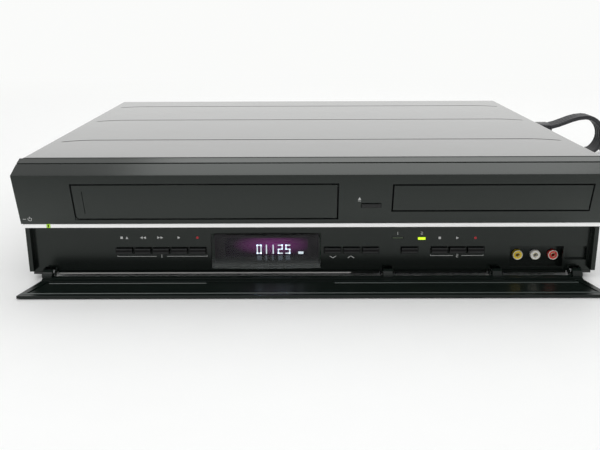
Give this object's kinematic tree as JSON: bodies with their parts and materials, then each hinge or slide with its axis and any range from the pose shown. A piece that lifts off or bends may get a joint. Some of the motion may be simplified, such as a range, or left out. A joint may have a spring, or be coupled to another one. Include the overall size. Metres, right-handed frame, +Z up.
{
  "type": "dvd vcr combo player",
  "caption": "Low wide disc and cassette combination player with its drop-down front door open, a sliding disc tray, a hinged cassette flap, push keys, front jacks and a mains lead.",
  "frame": {"origin": "middle of the footprint of the player with its front door open, at the underside of the feet, the mains lead left out", "axes": "+X to the right seen from the front, +Y to the back, +Z up"},
  "size_m": [0.6858, 0.5527, 0.094],
  "materials": {
    "bottom_pan": "zinc plated",
    "foot_front_left": "matt",
    "foot_front_right": "matt",
    "foot_rear_left": "matt",
    "foot_rear_right": "matt",
    "top_cover": "satin",
    "front_fascia": "fine satin",
    "trim_strip": "silver paint",
    "power_lamp": "tinted lens",
    "display_window": "smoked",
    "display_tube": "dark",
    "cassette_lamp": "tinted lens",
    "disc_lamp": "tinted lens",
    "video_jack": "moulded",
    "left_audio_jack": "moulded",
    "right_audio_jack": "moulded",
    "front_board": "solder mask",
    "deck_chassis": "zinc plated",
    "drum_base": "machined",
    "drive_frame": "moulded",
    "main_board": "solder mask",
    "mains_transformer": "wrapped",
    "power_board": "solder mask",
    "rear_jack_block": "moulded",
    "tuner_block": "tinned",
    "strain_relief": "matt",
    "rear_panel": "zinc plated",
    "mains_cord": "matt",
    "cord_hank": "matt",
    "mains_plug": "matt",
    "front_door": "smoked gloss",
    "cassette_flap": "fine satin",
    "stop_eject_key": "satin",
    "rewind_key": "satin",
    "forward_key": "satin",
    "play_key": "satin",
    "record_key": "satin",
    "channel_down_key": "satin",
    "channel_up_key": "satin",
    "dubbing_key": "satin",
    "select_key": "satin",
    "disc_stop_key": "satin",
    "disc_play_key": "satin",
    "disc_record_key": "satin",
    "tray_key": "satin",
    "power_key": "silver paint",
    "cassette_holder": "zinc plated",
    "head_drum": "polished",
    "supply_reel": "natural",
    "take_up_reel": "natural",
    "capstan": "ground",
    "pinch_arm": "zinc plated",
    "pinch_roller": "matt",
    "disc_tray": "moulded",
    "tray_bezel": "fine satin",
    "tray_gear": "acetal",
    "disc_clamp": "acetal",
    "traverse": "zinc plated",
    "disc_turntable": "moulded",
    "pickup_sled": "moulded"
  },
  "bodies": {
    "player": {"bottom_pan": "bottom_pan", "foot_front_left": "foot_front_left", "foot_front_right": "foot_front_right", "foot_rear_left": "foot_rear_left", "foot_rear_right": "foot_rear_right", "top_cover": "top_cover", "front_fascia": "front_fascia", "trim_strip": "trim_strip", "power_lamp": "power_lamp", "display_window": "display_window", "display_tube": "display_tube", "cassette_lamp": "cassette_lamp", "disc_lamp": "disc_lamp", "video_jack": "video_jack", "left_audio_jack": "left_audio_jack", "right_audio_jack": "right_audio_jack", "front_board": "front_board", "deck_chassis": "deck_chassis", "drum_base": "drum_base", "drive_frame": "drive_frame", "main_board": "main_board", "mains_transformer": "mains_transformer", "power_board": "power_board", "rear_jack_block": "rear_jack_block", "tuner_block": "tuner_block", "strain_relief": "strain_relief", "rear_panel": "rear_panel", "mains_cord": "mains_cord", "cord_hank": "cord_hank", "mains_plug": "mains_plug"},
    "door": {"front_door": "front_door"},
    "flap": {"cassette_flap": "cassette_flap"},
    "stop_eject_key": {"stop_eject_key": "stop_eject_key"},
    "rewind_key": {"rewind_key": "rewind_key"},
    "forward_key": {"forward_key": "forward_key"},
    "play_key": {"play_key": "play_key"},
    "record_key": {"record_key": "record_key"},
    "channel_down_key": {"channel_down_key": "channel_down_key"},
    "channel_up_key": {"channel_up_key": "channel_up_key"},
    "dubbing_key": {"dubbing_key": "dubbing_key"},
    "select_key": {"select_key": "select_key"},
    "disc_stop_key": {"disc_stop_key": "disc_stop_key"},
    "disc_play_key": {"disc_play_key": "disc_play_key"},
    "disc_record_key": {"disc_record_key": "disc_record_key"},
    "tray_key": {"tray_key": "tray_key"},
    "power_key": {"power_key": "power_key"},
    "holder": {"cassette_holder": "cassette_holder"},
    "head_drum": {"head_drum": "head_drum"},
    "supply_reel": {"supply_reel": "supply_reel"},
    "take_up_reel": {"take_up_reel": "take_up_reel"},
    "capstan": {"capstan": "capstan"},
    "pinch_arm": {"pinch_arm": "pinch_arm"},
    "pinch_roller": {"pinch_roller": "pinch_roller"},
    "tray": {"disc_tray": "disc_tray", "tray_bezel": "tray_bezel"},
    "tray_gear": {"tray_gear": "tray_gear"},
    "clamp": {"disc_clamp": "disc_clamp"},
    "traverse": {"traverse": "traverse"},
    "turntable": {"disc_turntable": "disc_turntable"},
    "sled": {"pickup_sled": "pickup_sled"}
  },
  "joints": [
    {"name": "door_hinge", "type": "hinge", "parent": "player", "child": "door", "pos_m": [0, -0.15095, 0.0042], "axis": [-1, 0, 0], "range_deg": [0, 90]},
    {"name": "flap_hinge", "type": "hinge", "parent": "player", "child": "flap", "pos_m": [-0.078, -0.15912, 0.0758], "axis": [1, 0, 0], "range_deg": [0, 75], "stiffness_Nm_per_rad": 0.002, "springref_deg": -57.3},
    {"name": "stop_eject_key_press", "type": "slide", "parent": "player", "child": "stop_eject_key", "axis": [0, 1, 0], "range_m": [0, 0.0008], "stiffness_N_per_m": 400, "springref_m": -0.001},
    {"name": "rewind_key_press", "type": "slide", "parent": "player", "child": "rewind_key", "axis": [0, 1, 0], "range_m": [0, 0.0008], "stiffness_N_per_m": 400, "springref_m": -0.001},
    {"name": "forward_key_press", "type": "slide", "parent": "player", "child": "forward_key", "axis": [0, 1, 0], "range_m": [0, 0.0008], "stiffness_N_per_m": 400, "springref_m": -0.001},
    {"name": "play_key_press", "type": "slide", "parent": "player", "child": "play_key", "axis": [0, 1, 0], "range_m": [0, 0.0008], "stiffness_N_per_m": 400, "springref_m": -0.001},
    {"name": "record_key_press", "type": "slide", "parent": "player", "child": "record_key", "axis": [0, 1, 0], "range_m": [0, 0.0008], "stiffness_N_per_m": 400, "springref_m": -0.001},
    {"name": "channel_down_key_press", "type": "slide", "parent": "player", "child": "channel_down_key", "axis": [0, 1, 0], "range_m": [0, 0.0008], "stiffness_N_per_m": 400, "springref_m": -0.001},
    {"name": "channel_up_key_press", "type": "slide", "parent": "player", "child": "channel_up_key", "axis": [0, 1, 0], "range_m": [0, 0.0008], "stiffness_N_per_m": 400, "springref_m": -0.001},
    {"name": "dubbing_key_press", "type": "slide", "parent": "player", "child": "dubbing_key", "axis": [0, 1, 0], "range_m": [0, 0.0008], "stiffness_N_per_m": 400, "springref_m": -0.001},
    {"name": "select_key_press", "type": "slide", "parent": "player", "child": "select_key", "axis": [0, 1, 0], "range_m": [0, 0.0008], "stiffness_N_per_m": 400, "springref_m": -0.001},
    {"name": "disc_stop_key_press", "type": "slide", "parent": "player", "child": "disc_stop_key", "axis": [0, 1, 0], "range_m": [0, 0.0008], "stiffness_N_per_m": 400, "springref_m": -0.001},
    {"name": "disc_play_key_press", "type": "slide", "parent": "player", "child": "disc_play_key", "axis": [0, 1, 0], "range_m": [0, 0.0008], "stiffness_N_per_m": 400, "springref_m": -0.001},
    {"name": "disc_record_key_press", "type": "slide", "parent": "player", "child": "disc_record_key", "axis": [0, 1, 0], "range_m": [0, 0.0008], "stiffness_N_per_m": 400, "springref_m": -0.001},
    {"name": "tray_key_press", "type": "slide", "parent": "player", "child": "tray_key", "axis": [0, 1, 0], "range_m": [0, 0.0008], "stiffness_N_per_m": 400, "springref_m": -0.001},
    {"name": "power_key_press", "type": "slide", "parent": "player", "child": "power_key", "axis": [0, 1, 0], "range_m": [0, 0.0008], "stiffness_N_per_m": 400, "springref_m": -0.001},
    {"name": "holder_slide", "type": "slide", "parent": "player", "child": "holder", "axis": [0, 1, 0], "range_m": [0, 0.06]},
    {"name": "head_drum_spin", "type": "hinge", "parent": "player", "child": "head_drum", "pos_m": [-0.078, 0.06505, 0.05], "axis": [0, 0, 1], "continuous": true},
    {"name": "supply_reel_spin", "type": "hinge", "parent": "player", "child": "supply_reel", "pos_m": [-0.124, -0.02995, 0.022], "axis": [0, 0, 1], "continuous": true},
    {"name": "take_up_reel_spin", "type": "hinge", "parent": "player", "child": "take_up_reel", "pos_m": [-0.032, -0.02995, 0.022], "axis": [0, 0, 1], "continuous": true},
    {"name": "capstan_spin", "type": "hinge", "parent": "player", "child": "capstan", "pos_m": [-0.01596, 0.03505, 0.015], "axis": [0, 0, 1], "continuous": true},
    {"name": "pinch_arm_swing", "type": "hinge", "parent": "player", "child": "pinch_arm", "pos_m": [0.00964, 0.03505, 0.0265], "axis": [0, 0, 1], "range_deg": [0, 25]},
    {"name": "pinch_roller_spin", "type": "hinge", "parent": "pinch_arm", "child": "pinch_roller", "pos_m": [-0.00636, 0.03505, 0.036], "axis": [0, 0, 1], "continuous": true},
    {"name": "tray_slide", "type": "slide", "parent": "player", "child": "tray", "axis": [0, -1, 0], "range_m": [0, 0.132]},
    {"name": "tray_gear_spin", "type": "hinge", "parent": "player", "child": "tray_gear", "pos_m": [0.09907, -0.11995, 0.0576], "axis": [0, 0, 1], "range_deg": [0, 340]},
    {"name": "clamp_spin", "type": "hinge", "parent": "player", "child": "clamp", "pos_m": [0.13115, -0.06995, 0.074], "axis": [0, 0, 1], "continuous": true},
    {"name": "traverse_tilt", "type": "hinge", "parent": "player", "child": "traverse", "pos_m": [0.13115, 0.00605, 0.051], "axis": [1, 0, 0], "range_deg": [0, 3.4]},
    {"name": "turntable_spin", "type": "hinge", "parent": "traverse", "child": "turntable", "pos_m": [0.13115, -0.06995, 0.063], "axis": [0, 0, 1], "continuous": true},
    {"name": "sled_slide", "type": "slide", "parent": "traverse", "child": "sled", "axis": [0, 1, 0], "range_m": [0, 0.033]}
  ],
  "couplings": [
    {"joint": "tray_gear_spin", "follows": "tray_slide", "rad_per_m": 44.444}
  ]
}
